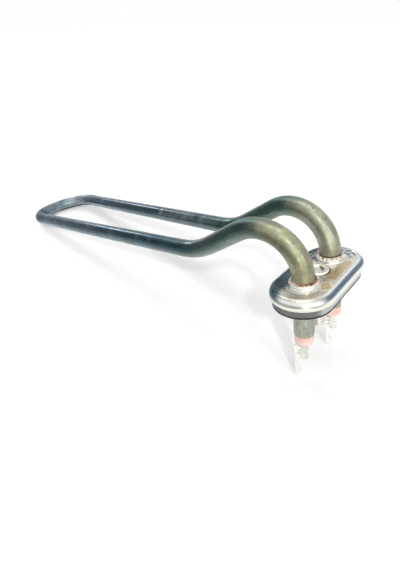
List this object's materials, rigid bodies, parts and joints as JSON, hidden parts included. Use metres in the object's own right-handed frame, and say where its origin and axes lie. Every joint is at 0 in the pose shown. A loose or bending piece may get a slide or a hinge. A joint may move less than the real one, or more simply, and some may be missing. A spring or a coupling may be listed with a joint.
{
  "type": "tubular heating element",
  "caption": "Bent sheathed immersion heater: level hairpin loop, arched legs through an oval pressed flange with a clamping stud, and a spade tab on each end.",
  "frame": {"origin": "on the stud's axis, in the face of the gasket that seats on the vessel", "axes": "+Z is the flange's normal, towards the heated side; the loop runs out towards -X; the legs stand side by side along Y"},
  "size_m": [0.252, 0.052, 0.0747],
  "materials": {
    "sheath": "heat-tinted, satin",
    "magnesia": "matte powder",
    "resistance_wire": "dull",
    "pin_metal": "bright drawn",
    "silicone": "matte",
    "tab_metal": "bright rolled",
    "cap_steel": "pressed, lightly heat-stained",
    "pan_steel": "satin",
    "gasket_rubber": "matte",
    "stud_metal": "zinc plated",
    "braze": "oxidised, rough"
  },
  "bodies": {
    "root": {"sheath_tube": "sheath", "magnesia_fill": "magnesia", "heating_coil": "resistance_wire", "terminal_pin_front": "pin_metal", "terminal_pin_rear": "pin_metal", "end_seal_front": "silicone", "end_seal_rear": "silicone", "spade_tab_front": "tab_metal", "spade_tab_rear": "tab_metal", "flange_cap": "cap_steel", "flange_pan": "pan_steel", "gasket": "gasket_rubber", "stud": "stud_metal", "braze_ring_front": "braze", "braze_ring_rear": "braze"}
  },
  "joints": []
}
